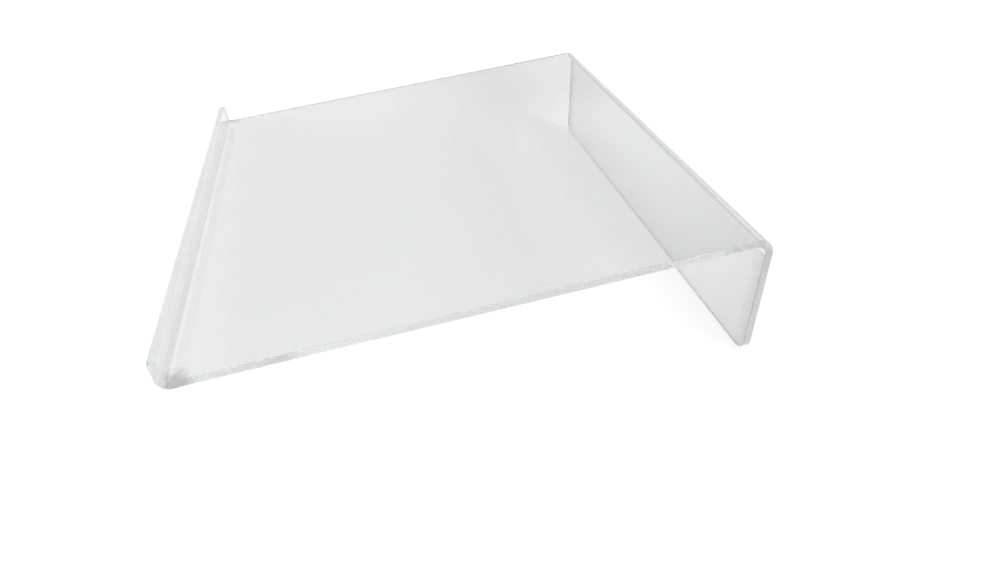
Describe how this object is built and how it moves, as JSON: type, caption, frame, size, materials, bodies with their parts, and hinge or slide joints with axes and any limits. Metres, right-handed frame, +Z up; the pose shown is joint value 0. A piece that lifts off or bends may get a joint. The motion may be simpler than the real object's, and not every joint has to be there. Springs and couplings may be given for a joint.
{
  "type": "plate display stand",
  "caption": "Low sloping stand of one clear bent sheet: a front lip stops the plate's rim and a folded rear leg holds the deck up.",
  "frame": {"origin": "on the table, under the middle of the stand's outline", "axes": "+X along the width, along the bends; +Y to the back, from the lip to the leg; +Z up"},
  "size_m": [0.23, 0.2172, 0.0509],
  "materials": {
    "clear_acrylic": "clear cast acrylic, polished faces and polished cut edges"
  },
  "bodies": {
    "root": {"deck": "clear_acrylic", "front_bend": "clear_acrylic", "front_lip": "clear_acrylic", "rear_bend": "clear_acrylic", "rear_leg": "clear_acrylic"}
  },
  "joints": []
}
